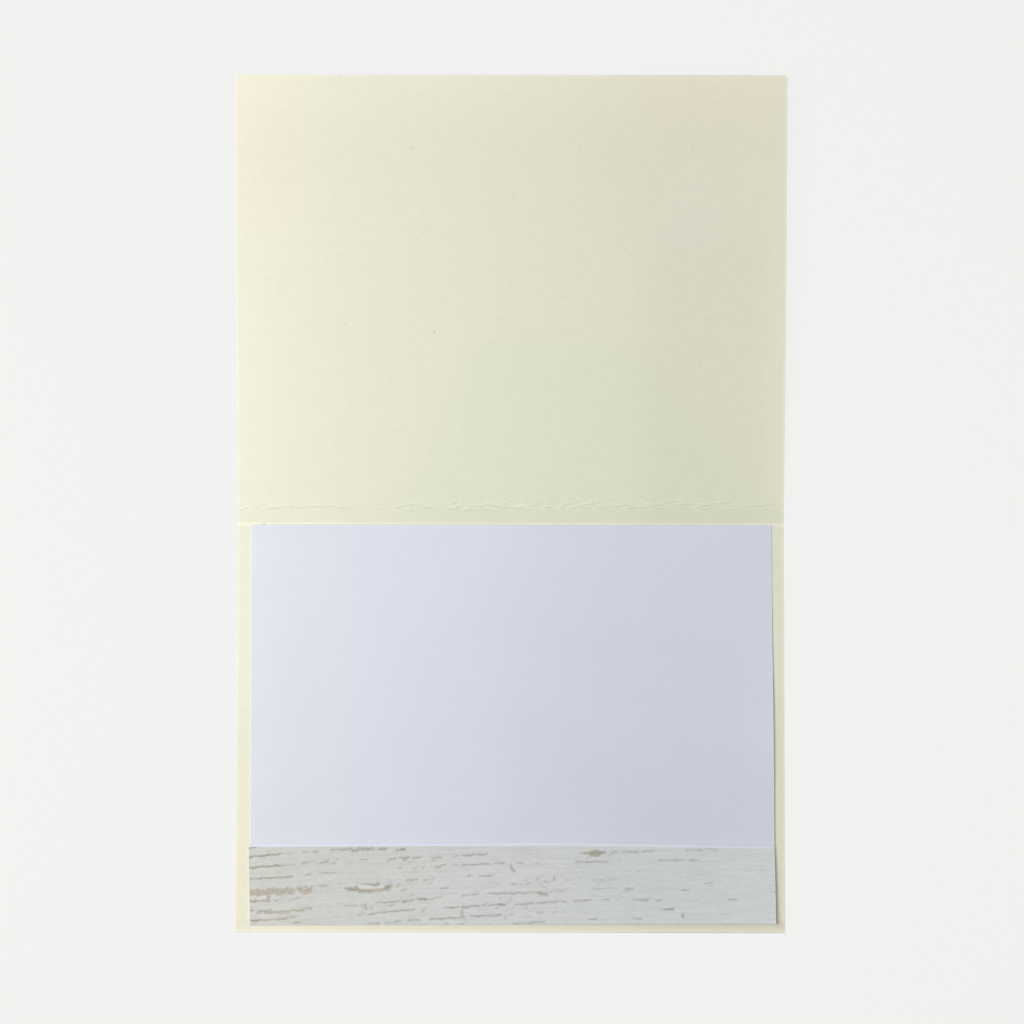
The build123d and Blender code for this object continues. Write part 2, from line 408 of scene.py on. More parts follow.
def white_paper():
    """Smooth bluish white stock of the message sheet, with painted light: lighter on the left, towards
    its top and above the strip, and painted highlights along its right and top cut edges.
    """
    made, tree = new_material("white_paper")
    place = card_place(tree)
    x, y = right_and_up(place)
    clouds = grain(place, (30, 22, 22), detail=1)
    mottle = grain(place, (1.6, 1.2, 1.2), detail=3, roughness=0.6)
    fibres = grain(place, (0.7, 0.4, 0.4), roughness=0.6)
    rightward = ramp(x, -67, -20, kind="LINEAR")
    tint = blend(rightward, colour(0.69, 0.715, 0.765), colour(0.681, 0.712, 0.8))
    left_middle_light = within(x, -62, -40, -12, 8)
    above_strip_light = ramp(y, -82.5, -86.5)
    shade = product(
        painted_light_outwards(x, y),
        ramp(x, -67, 30, 1.012, 0.99, "LINEAR"),
        ramp(y, -106, -6, 0.96, 1.04, "LINEAR"),
        toned(left_middle_light, 1.022), toned(above_strip_light, 1.02, "LINEAR"),
        swing(clouds, 0.01, 0.3, 0.7), swing(mottle, 0.01, 0.3, 0.7),
        toned(stored(tree, "painted_rim_highlight"), 1.07, "LINEAR"),
    )
    paper_shader(shaded(tint, shade), fibres, 0.003)
    return made


def two_toned(name, low, high, sizes, depth):
    """Material speckled in two tones, with a fine relief."""
    made, tree = new_material(name)
    specks = grain(card_place(tree), sizes)
    paper_shader(blend(specks, colour(*low), colour(*high)), specks, depth)
    return made


def paper_core():
    """White core of the strip's paper, seen at its cut edges and on its unprinted back."""
    return two_toned("paper_core", (0.69, 0.715, 0.79), (0.79, 0.82, 0.91), (0.5, 0.3, 0.3), 0.01)


def whitewash(place, run, streaks, speckles):
    """Streaky whitewash, warmer and darker on the left, with painted light towards the card's sides and
    the painted shade and highlights of the strip's edges.
    """
    x, y = right_and_up(place)
    long_streaks = grain(run, (11, 0.8, 1), detail=3, roughness=0.6)
    clouds = grain(place, (14, 7, 7))
    left, middle, right = colour(0.615, 0.61, 0.572), colour(0.66, 0.68, 0.668), colour(0.685, 0.715, 0.71)
    tint = blend(ramp(x, -67, -10, kind="LINEAR"), left, middle)
    tint = blend(ramp(x, 0, 67, kind="LINEAR"), tint, right)
    shade = product(
        painted_light_outwards(x, y),
        swing(long_streaks, 0.06), swing(streaks, 0.05), swing(clouds, 0.02), swing(speckles, 0.065),
        ramp(y, -106.5, -87, 0.99, 0.955, "LINEAR"),
        swing(stored(run.id_data, "edge_light_and_shade"), 0.15, -1.5, 1.5),
    )
    return shaded(tint, shade)


def crack_tint(x, streaks):
    """Dark grain in the cracks, which fades to the right unless the wood beside it is bare."""
    dark = blend(streaks, colour(0.22, 0.21, 0.155), colour(0.36, 0.345, 0.27))
    faded = blend(streaks, colour(0.34, 0.345, 0.325), colour(0.46, 0.465, 0.45))
    painted = ramp(stored(x.id_data, "bare"), 0.6, 0.1)
    return blend(product(painted, ramp(x, -45, 30)), dark, faded)


def bare_tint(scuffs, flecks):
    """Bare wood, brown in some places and olive in others."""
    rough = ramp(flecks, 0.3, 0.7)
    brown = blend(rough, colour(0.415, 0.355, 0.305), colour(0.57, 0.51, 0.475))
    olive = blend(rough, colour(0.375, 0.36, 0.27), colour(0.535, 0.52, 0.445))
    return blend(ramp(scuffs, 0.42, 0.58), brown, olive)


def whitewashed_print():
    """Printed boards under thin whitewash. The mesh stores how strong each kind of mark is."""
    made, tree = new_material("whitewashed_print")
    place = card_place(tree)
    x, _ = right_and_up(place)
    run = stored(tree, "grain_run", "Vector")
    streaks = grain(run, (2.4, 0.5, 1), detail=3, roughness=0.65)
    flecks = grain(run, (0.9, 0.5, 1), roughness=0.6)
    speckles = grain(run, (0.65, 0.45, 1), detail=3, roughness=0.7)
    scuffs = grain(run, (3.6, 0.9, 1), detail=4, roughness=0.7)
    pale, cracked = colour(0.72, 0.705, 0.65), crack_tint(x, streaks)

    tint = whitewash(place, run, streaks, speckles)
    busy = ramp(x, -60, 50, 1, 0.7, "LINEAR")
    tint = blend(product(ramp(scuffs, 0.54, 0.72), busy, 0.3), tint, cracked)
    tint = blend(product(ramp(scuffs, 0.46, 0.3), busy, 0.35), tint, pale)
    uneven = math_node("ADD", product(flecks, 0.4), product(speckles, 0.6))
    broken = ramp(uneven, 0.32, 0.68, -0.5, 0.35, "LINEAR")
    for name, low, high, paint in (
        ("bare", 0.1, 0.8, bare_tint(scuffs, flecks)),
        ("cream", 0.15, 0.85, pale),
        ("crack", 0, 1, cracked),
    ):
        strength = stored(tree, name)
        worn = math_node("ADD", strength, product(broken, strength))
        tint = blend(ramp(worn, low, high, kind="LINEAR"), tint, paint)
    paper_shader(tint, flecks, 0.003, roughness=0.8)
    return made


def sticky_film():
    """Translucent double-sided tape."""
    made, tree = new_material("sticky_film")
    bubbles = grain(card_place(tree), (1.5, 1.5, 1.5), detail=3)
    tint = blend(ramp(bubbles, 0.35, 0.65), colour(0.8, 0.8, 0.74), colour(0.86, 0.86, 0.82))
    paper_shader(tint, bubbles, 0.01, roughness=0.35, shine=0.5)
    return made


def dust():
    """Fibres and specks caught in the cardstock, the pale ones and the dark ones."""
    sizes, depth = (0.3, 0.3, 0.3), 0.002
    pale = two_toned("pale_dust", (0.64, 0.625, 0.5), (0.71, 0.695, 0.56), sizes, depth)
    dark = two_toned("dark_dust", (0.5, 0.48, 0.38), (0.58, 0.56, 0.45), sizes, depth)
    return pale, dark


# Mesh tools


def steps(length, step):
    """Places from 0 to length, about step apart and closer beside both ends."""
    near = np.array(EDGE_STEPS)
    count = int(round((length - 2 * near[-1]) / step))
    middle = np.linspace(near[-1], length - near[-1], count + 1)
    return np.concatenate([near[:-1], middle, length - near[-2::-1]])


def kept(count, stride):
    """Every stride-th place of a row, with its last one."""
    return [*range(0, count - 1, stride), count - 1]


def quads(*corners):
    return np.stack(corners, axis=-1).reshape(-1, 4).tolist()


def grid_solid(name, upper, lower, stride, materials):
    """Closed sheet, from grids of X, Y and Z, rows first. Its lower face keeps every stride-th
    row and column. Faces other than the upper one take the last material."""
    upper, lower = np.stack(upper, axis=-1), np.stack(lower, axis=-1)
    high, wide = upper.shape[:2]
    rows, columns = kept(high, stride), kept(wide, stride)
    top = np.arange(high * wide).reshape(high, wide)
    bottom = np.arange(len(rows) * len(columns)).reshape(len(rows), len(columns)) + high * wide
    coarse = lower[np.ix_(rows, columns)]
    points = np.concatenate([upper.reshape(-1, 3), coarse.reshape(-1, 3)]) * MM

    faces = quads(top[:-1, :-1], top[:-1, 1:], top[1:, 1:], top[1:, :-1])
    upper_count = len(faces)
    faces += quads(bottom[:-1, :-1], bottom[1:, :-1], bottom[1:, 1:], bottom[:-1, 1:])
    smooth_count = len(faces)
    for places, over, under, way in ((rows, top.T, bottom.T, 1), (columns, top, bottom, -1)):
        for index, (start, end) in enumerate(zip(places, places[1:])):
            for side, turn in ((0, way), (-1, -way)):
                face = [*over[side, start : end + 1], under[side, index + 1], under[side, index]]
                faces.append([int(corner) for corner in face[::turn]])

    mesh = bpy.data.meshes.new(name)
    mesh.from_pydata(points.tolist(), [], faces)
    for made in materials:
        mesh.materials.append(made)
    numbers = np.arange(len(faces))
    slots = np.where(numbers < upper_count, 0, len(materials) - 1)
    mesh.polygons.foreach_set("material_index", slots.astype(np.int32))
    mesh.polygons.foreach_set("use_smooth", numbers < smooth_count)
    mesh.update()
    return link(bpy.data.objects.new(name, mesh))


def store(piece, name, *parts):
    """Stores a number, or a vector's three parts, at the upper face's points, and 0 elsewhere."""
    full = np.zeros((len(piece.data.vertices), len(parts)), np.float32)
    for number, part in enumerate(parts):
        full[: part.size, number] = part.ravel()
    kind, key = ("FLOAT", "value") if len(parts) == 1 else ("FLOAT_VECTOR", "vector")
    piece.data.attributes.new(name, kind, "POINT").data.foreach_set(key, full.ravel())


def bell(distance, width):
    """1 at no distance, and little beyond this width."""
    return np.exp(-((distance / width) ** 2))


def lip(distance):
    """Height of the burr at a distance from a cut edge."""
    return LIP_HEIGHT * np.clip(1 - distance / LIP_WIDTH, 0, 1) ** 1.5


def pressed(distance):
    """Drop of an edge that the trimmer pressed down, at a distance from it."""
    return PRESSED_DEPTH * np.clip(1 - distance / PRESSED_WIDTH, 0, 1) ** 2


def cut_edge(distance):
    """1 at a cut edge, where the light catches it, and 0 from a little way in."""
    return bell(distance, RIM_WIDTH)


# Share, length and turn of each wave in a ripple
RIPPLE_WAVES = ((0.55, 3.7, 1.7), (0.3, 1.6, 2.9), (0.15, 0.9, 4.3))


def ripple(place, number):
    """Uneven wave between about -1 and 1, another one for each number."""
    waves = (share * np.sin(2 * pi * place / length + turn * number) for share, length, turn in RIPPLE_WAVES)
    return sum(waves)


def beside_line(x, y, start, end):
    """How far each place is along a line and off to its left, and the line's length."""
    length = hypot(end[0] - start[0], end[1] - start[1])
    lead = ((end[0] - start[0]) / length, (end[1] - start[1]) / length)
    on = (x - start[0]) * lead[0] + (y - start[1]) * lead[1]
    off = (y - start[1]) * lead[0] - (x - start[0]) * lead[1]
    return on, off, length


# Card

# Folds of the crease as the photograph shows them: both ends of the dark line below each crest in
# picture pixels, height in millimetres
CREASE_FOLDS = [
    (238, 511.2, 250, 507.3, 0.035), (249, 504.6, 262, 507.6, 0.02), (256, 503.2, 267, 505.4, 0.018),
    (264, 508.6, 291, 506.9, 0.04), (289, 508.2, 296, 505.6, 0.025), (296, 508, 312, 506.4, 0.04),
    (308, 506.6, 336, 506.6, 0.045), (330, 506.4, 353, 508.4, 0.035), (350, 505.6, 372, 507.8, 0.018),
    (374, 504.6, 384, 505, 0.02), (376, 508.8, 386, 509.2, 0.015), (393, 508.6, 409, 504.8, 0.035),
    (400, 509.8, 416, 511, 0.025), (406, 505, 422, 504, 0.025), (422, 508.4, 434, 507, 0.04),
    (436, 505, 446, 505.6, 0.015), (447, 510.4, 463, 505.4, 0.045), (448, 505, 458, 502.6, 0.025),
    (463, 511, 474, 508.8, 0.035), (470, 506, 483, 506.8, 0.03), (475, 509.6, 503, 511.4, 0.03),
    (479, 506.6, 492, 504.6, 0.035), (489, 504.8, 505, 507.6, 0.045), (502, 507.2, 529, 508.6, 0.045),
    (518, 506.2, 536, 505.6, 0.03), (520, 510.4, 530, 510.8, 0.018), (543, 508.2, 554, 506.6, 0.045),
    (546, 505.2, 556, 499.4, 0.02), (557, 510.2, 566, 505.8, 0.035), (560, 505.4, 579, 501.6, 0.025),
    (567, 509.4, 594, 503.2, 0.04), (578, 508.6, 592, 507.8, 0.03), (592, 503.8, 604, 502.8, 0.02),
    (596, 508.8, 611, 506.4, 0.025), (609, 508.4, 618, 505.4, 0.035), (615, 506, 638, 505.8, 0.03),
    (622, 509.4, 637, 507.6, 0.03), (637, 508.2, 651, 506.6, 0.035), (646, 505.4, 664, 505.6, 0.03),
    (655, 509.4, 668, 508.6, 0.015), (662, 503.6, 679, 501.4, 0.025), (671, 506.4, 690, 503.8, 0.035),
    (683, 504, 699, 504.6, 0.03), (694, 508.4, 716, 503.2, 0.035), (702, 510.2, 717, 507.6, 0.025),
    (697, 504.2, 708, 506.2, 0.02), (714, 503.8, 733, 503.2, 0.03), (726, 506.4, 745, 504.8, 0.022),
    (720, 509.6, 748, 509, 0.015), (742, 506.4, 778, 505.8, 0.035), (758, 509.8, 784, 508.6, 0.015),
    (764, 503.6, 784, 503, 0.02),
]
FOLD_ABOVE = 0.42
FOLD_BELOW = 0.17
FOLD_CREST = 0.12
FOLD_WANDER = 0.07
# Painted shade line along each fold's foot: the height that gets all of it, its ripple and width; painted
# highlight along the crest: its place, width and strength
FOLD_FULL_SHADE = 0.034
FOLD_SHADE_RIPPLE = 60
FOLD_SHADE_WIDTH = 0.2
CREST_HIGHLIGHT_PLACE = 0.42
CREST_HIGHLIGHT_WIDTH = 0.24
CREST_HIGHLIGHT = 0.55
FOLDS_UNDERNEATH = 0.6
CREASE_MIDDLE = (512, 507)

# Specks and fibres of the card: places in picture pixels, and the specks' sizes and the fibres'
# radii in millimetres. A speck's reach and radius are shares of its size
PALE_SPECKS = [
    (411.3, 148.6, 0.42), (345.2, 323.6, 0.42), (417, 238.8, 0.28), (400.5, 338.8, 0.36),
    (692.4, 150.6, 0.3), (707.6, 317.6, 0.36), (626, 310, 0.24), (394.6, 430, 0.38), (700, 362.4, 0.46),
    (534, 379, 0.26), (747.6, 351, 0.34), (579.4, 149, 0.32), (684, 196, 0.22),
]
DARK_SPECKS = [(434.5, 331.6, 0.44)]
PALE_FIBRES = [
    [(510, 190.2), (511.6, 191.2), (512.6, 193.4), (514.2, 196), (516.4, 198.2)],
    [(620.2, 243.6), (623.6, 246.8), (625.2, 250.4), (629, 251.8)],
    [(694.6, 146.8), (692.6, 149.8), (691, 152.6)], [(707.6, 314.6), (707.4, 319.6)],
    [(339.8, 76.2), (341.4, 77.4), (343.2, 79)], [(513.6, 76.2), (513.8, 79.6)],
]
DARK_FIBRES = [[(263.4, 522.4), (264.2, 523.8), (265.2, 525)]]
DUST = ((PALE_SPECKS, PALE_FIBRES, 0.055), (DARK_SPECKS, DARK_FIBRES, 0.09))
SPECK_REACH = Vector((0.5, 0.16, 0))
SPECK_BENDS = (-1.0, -0.4, 0.4, 1.0)
SPECK_RADIUS = 0.42
FIBRE_FLATNESS = 0.35
TUBE_SIDES = 6
TUBE_END = 0.45

# Nicks in the free edge: places along it and its own row in picture pixels
EDGE_NICKS = (341.6, 514.5)
FREE_EDGE_ROW = 77
NICK_DEPTH = 0.3
NICK_WIDTH = 0.35
NICK_REACH = 1.2
NICK_RAGGEDNESS = 0.4
NICK_WAVES = 9


def section_pieces():
    """Stretches of the underside: where each starts along the sheet, its place, slope and curve."""
    run = CREASE_BAND / 4
    shoulder = 2 * atan(SHOULDER_HEIGHT / run)
    radius = run / (2 * sin(shoulder))
    rise, end = radians(RISE_AT_CREASE), radians(RISE_AT_EDGE)
    front_radius = (FRONT_PANEL - CREASE_BAND / 2) / (rise - end)
    turns = [
        (radius, shoulder), (radius, -shoulder), (radius, 0.0),
        (radius, rise + shoulder), (radius, rise - shoulder), (radius, rise), (front_radius, end),
    ]
    flat = BACK_PANEL - CREASE_BAND / 2
    pieces = [(0.0, 0.0, 0.0, 0.0, 0.0)]
    travel, y, z, slope = flat, flat, 0.0, 0.0
    for bend_radius, next_slope in turns:
        curve = (1 if next_slope > slope else -1) / bend_radius
        pieces.append((travel, y, z, slope, curve))
        y += (sin(next_slope) - sin(slope)) / curve
        z -= (cos(next_slope) - cos(slope)) / curve
        travel += (next_slope - slope) / curve
        slope = next_slope
    return np.array(pieces), travel


def section(travel):
    """Place and slope of the underside at each distance along the sheet, from its foot."""
    pieces, _ = section_pieces()
    start, y, z, slope, curve = pieces[np.searchsorted(pieces[:, 0], travel, side="right") - 1].T
    on = travel - start
    bent = np.where(curve == 0, 1.0, curve)
    angle = slope + curve * on
    y = y + np.where(curve == 0, on, (np.sin(angle) - np.sin(slope)) / bent)
    z = z - np.where(curve == 0, 0.0, (np.cos(angle) - np.cos(slope)) / bent)
    return y, z, angle


def card_rows():
    """Distances along the sheet, close together at the crease and at both cut edges."""
    _, length = section_pieces()
    below = steps(2 * (BACK_PANEL - CREASE_ZONE), CARD_STEPS[1])
    across = np.arange(BACK_PANEL - CREASE_ZONE, BACK_PANEL + CREASE_ZONE, CREASE_STEP)
    above = length - steps(2 * (length - BACK_PANEL - CREASE_ZONE), CARD_STEPS[1])[::-1]
    below = below[below < across[0] - CREASE_STEP]
    above = above[above > across[-1] + CREASE_STEP]
    return np.concatenate([below, across, above])


def photo_ray(across, down):
    """Direction in which the camera sees a pixel of the photograph."""
    middle = PICTURE_SIDE / 2
    ray = Vector((across - middle, middle - down, -FOCAL_PIXELS))
    ray.rotate(CAMERA_TURN)
    return ray


def on_card(across, down):
    """Point of the card's upper face that the camera sees at a pixel, found in six rounds."""
    ray = photo_ray(across, down)
    height = CARD_THICKNESS
    for _ in range(6):
        point = CAMERA_PLACE + ray * ((height - CAMERA_PLACE.z) / ray.z)
        height = float(np.interp(point.y, FACE_Y, FACE_Z))
    return Vector((point.x, point.y, height))


def crease_folds(x, y):
    """Height of the crease's folds and their painted light: low ridges, steeper on the side of the back
    panel, with a painted highlight along their crest and a painted shade line along their foot."""
    relief, tone = np.zeros_like(x), np.zeros_like(x)
    for number, (x0, y0, x1, y1, height) in enumerate(CREASE_FOLDS):
        on, off, length = beside_line(x, y, on_card(x0, y0), on_card(x1, y1))
        off = off - FOLD_WANDER * ripple(on, number)
        strength = height * np.sin(pi * np.clip(on / length, 0, 1)) ** 0.7
        crest = off - FOLD_CREST
        relief += strength * bell(crest, np.where(crest > 0, FOLD_ABOVE, FOLD_BELOW))
        uneven = strength / FOLD_FULL_SHADE * (1 + 0.4 * ripple(0.6 * on, number + FOLD_SHADE_RIPPLE))
        tone -= uneven * bell(off, FOLD_SHADE_WIDTH)
        tone += CREST_HIGHLIGHT * uneven * bell(off - CREST_HIGHLIGHT_PLACE, CREST_HIGHLIGHT_WIDTH)
    return relief, tone


def worn_corner(x, y, right, far):
    """Rounds the corner of a grid at its right end of the free edge."""
    a = np.clip(1 - (right - x) / WORN_CORNER, 0, 1)
    b = np.clip(1 - (far - y) / WORN_CORNER, 0, 1)
    rounded = np.maximum(a, b) / np.maximum(np.hypot(a, b), 1e-9)
    pull = np.where((a > 0) & (b > 0), rounded, 1.0)
    return x - WORN_CORNER * a * (1 - pull), y - WORN_CORNER * b * (1 - pull)


card_low, card_high = (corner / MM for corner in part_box("card_base"))
ROWS = card_rows()
UNDER_Y, UNDER_Z, UNDER_SLOPE = section(ROWS)
UNDER_Y = UNDER_Y + card_low.y
FACE_Y = UNDER_Y - CARD_THICKNESS * np.sin(UNDER_SLOPE)
FACE_Z = UNDER_Z + CARD_THICKNESS * np.cos(UNDER_SLOPE)


def nicks_along(x):
    """How deep the free edge is nicked at each place along it."""
    depth = np.zeros_like(x)
    for across in EDGE_NICKS:
        off = (x - on_card(across, FREE_EDGE_ROW).x) / NICK_WIDTH
        depth += NICK_DEPTH * bell(off, 1) * (1 + NICK_RAGGEDNESS * np.sin(NICK_WAVES * off))
    return depth


def card():
    """The folded sheet, with the puckers of its crease, its worn corner and its nicked edge."""
    x = card_low.x + steps(card_high.x - card_low.x, CARD_STEPS[0])
    grid_x, face_y = np.meshgrid(x, FACE_Y)
    face_z, under_y, under_z = (np.repeat(row[:, None], len(x), axis=1) for row in (FACE_Z, UNDER_Y, UNDER_Z))
    near_crease = np.abs(FACE_Y - on_card(*CREASE_MIDDLE).y) < CREASE_ZONE
    folds, tone = np.zeros_like(grid_x), np.zeros_like(grid_x)
    folds[near_crease], tone[near_crease] = crease_folds(grid_x[near_crease], face_y[near_crease])
    from_foot, from_free_edge = face_y - face_y[0], face_y[-1] - face_y
    face_z = face_z + folds + FOOT_RIDGE_HEIGHT * bell(from_foot - FOOT_RIDGE_PLACE, FOOT_RIDGE_WIDTH)
    face_z = face_z - pressed(from_foot) - FREE_EDGE_DEEPER * pressed(FREE_EDGE_SLOWER * from_free_edge)
    face_z = face_z - pressed(grid_x - card_low.x)
    under_z = np.maximum(under_z + FOLDS_UNDERNEATH * folds, 0.0)
    for rows in (face_y, under_y):
        rows -= np.clip(1 - (rows[-1] - rows) / NICK_REACH, 0, 1) ** 2 * nicks_along(x)
    face_x, face_y = worn_corner(grid_x, face_y, card_high.x, FACE_Y[-1])
    under_x, under_y = worn_corner(grid_x, under_y, card_high.x, UNDER_Y[-1])
    upper, lower = (face_x, face_y, face_z), (under_x, under_y, under_z)
    piece = grid_solid("folded_card", upper, lower, 2, [cream_cardstock()])
    # Painted shade along the folds' foot and painted highlight on their crests
    store(piece, "painted_fold_light", tone)
    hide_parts("card_base")
    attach(piece, BODY)


def tube(path, radius):
    """Points and faces of a closed tube that thins out at both ends."""
    points, faces = [], []
    for index, centre in enumerate(path):
        before = path[max(index - 1, 0)]
        after = path[min(index + 1, len(path) - 1)]
        lead = (after - before).normalized()
        side = Vector((0, 0, 1)).cross(lead).normalized()
        up = lead.cross(side)
        size = radius * (TUBE_END if index in (0, len(path) - 1) else 1.0)
        for turn in range(TUBE_SIDES):
            angle = 2 * pi * turn / TUBE_SIDES
            points.append(centre + side * size * cos(angle) + up * size * sin(angle))
    for ring in range(0, len(points) - TUBE_SIDES, TUBE_SIDES):
        for turn in range(TUBE_SIDES):
            a, b = ring + turn, ring + (turn + 1) % TUBE_SIDES
            faces.append((a, b, b + TUBE_SIDES, a + TUBE_SIDES))
    faces.append(tuple(range(TUBE_SIDES))[::-1])
    faces.append(tuple(range(len(points) - TUBE_SIDES, len(points))))
    return points, faces


def dust_paths(specks, fibres, radius):
    """Path and radius of each speck and fibre of one tone."""
    for across, down, size in specks:
        middle = on_card(across, down)
        yield [middle + SPECK_REACH * size * share for share in SPECK_BENDS], size * SPECK_RADIUS
    for places in fibres:
        yield [on_card(*place) for place in places], radius


def card_fibres():
    """Specks and fibres pressed into the cardstock, most of them pale."""
    points, faces, tones = [], [], []
    for tone, kind in enumerate(DUST):
        for path, radius in dust_paths(*kind):
            new_points, new_faces = tube(path, radius)
            faces += [tuple(corner + len(points) for corner in face) for face in new_faces]
            tones += [tone] * len(new_faces)
            points += new_points
    mesh = bpy.data.meshes.new("card_fibres")
    for point in points:
        rest = float(np.interp(point.y, FACE_Y, FACE_Z))
        point.z = rest + (point.z - rest) * FIBRE_FLATNESS
    mesh.from_pydata([tuple(point * MM) for point in points], [], faces)
    for made in dust():
        mesh.materials.append(made)
    mesh.polygons.foreach_set("material_index", tones)
    piece = link(bpy.data.objects.new("card_fibres", mesh))
    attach(piece, BODY)


# White message sheet

sheet_low, sheet_high = (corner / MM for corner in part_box("message_panel"))
loose_side = hypot(LOOSE_ALONG_FOOT, LOOSE_UP_SIDE)
curl_reach = LOOSE_ALONG_FOOT * LOOSE_UP_SIDE / loose_side


def leaning_grid(low, high, step_sizes, leans, top_climb=0.0, top_bow=((0,), (0,))):
    """Places on a sheet whose ends lean to the right towards its foot, which climbs to the right,
    and how far each place is from the nearest other edge and from the foot."""
    length, height = high.x - low.x, high.y - low.y
    u, v = np.meshgrid(steps(length, step_sizes[0]) / length, steps(height, step_sizes[1]) / height)
    left = low.x + leans[0] * (1 - v)
    right = high.x - leans[1] * v
    foot = low.y + FOOT_CLIMB * u
    top = high.y - top_climb * (1 - u) + np.interp(u * length, *top_bow)
    edge = np.minimum(np.minimum(u, 1 - u) * length, (1 - v) * height)
    return left + (right - left) * u, foot + (top - foot) * v, edge, v * height


def curl(x, y):
    """Lift of the loose corner, from a slanted line to the sheet's lower right corner."""
    foot = sheet_low.y + FOOT_CLIMB
    towards = (x - sheet_high.x) * LOOSE_UP_SIDE - (y - foot) * LOOSE_ALONG_FOOT
    return CORNER_LIFT * np.clip(towards / loose_side / curl_reach + 1, 0, None) ** 2


def beside_right(x, y, amounts):
    """An amount set at places down the sheet's right side, which fades out to its left."""
    beside = np.clip(1 - (sheet_high.x - x) / SIDE_LIFT_WIDTH, 0, 1) ** 1.5
    return beside * np.interp(sheet_high.y - y, SIDE_LIFT_DOWN, amounts)


def cockle(x, y):
    """Slow swell of the sheet between its tapes."""
    across = np.sin(2 * pi * (x - sheet_low.x) / COCKLE_ACROSS + 0.7)
    up = np.sin(2 * pi * (y - sheet_low.y) / COCKLE_UP + 1.1)
    return COCKLE_HEIGHT * (0.5 + 0.5 * across * up)


def message_sheet():
    """White sheet with a loose corner, a lifted right side and a slow swell."""
    x, y, edge, from_foot = leaning_grid(sheet_low, sheet_high, SHEET_STEPS, SHEET_LEANS)
    slack = np.clip(np.minimum(edge, from_foot) / COCKLE_FADE, 0, 1)
    base = sheet_low.z + curl(x, y) + beside_right(x, y, SIDE_LIFT) + cockle(x, y) * slack
    x = x + beside_right(x, y, SIDE_OUT)
    upper, lower = (x, y, base + SHEET_THICKNESS + lip(edge)), (x, y, np.maximum(base, SHEET_REST))
    piece = grid_solid("message_sheet", upper, lower, 3, [white_paper()])
    # Painted highlights where light catches the sheet's right and top cut edges
    store(piece, "painted_rim_highlight", cut_edge(x[:, -1:] - x) + 0.6 * cut_edge(y[-1] - y))
    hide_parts("message_panel")
    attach(piece, BODY)


# Patterned strip. Its marks are measured from its upper left corner: both ends along and down,
# width and strength

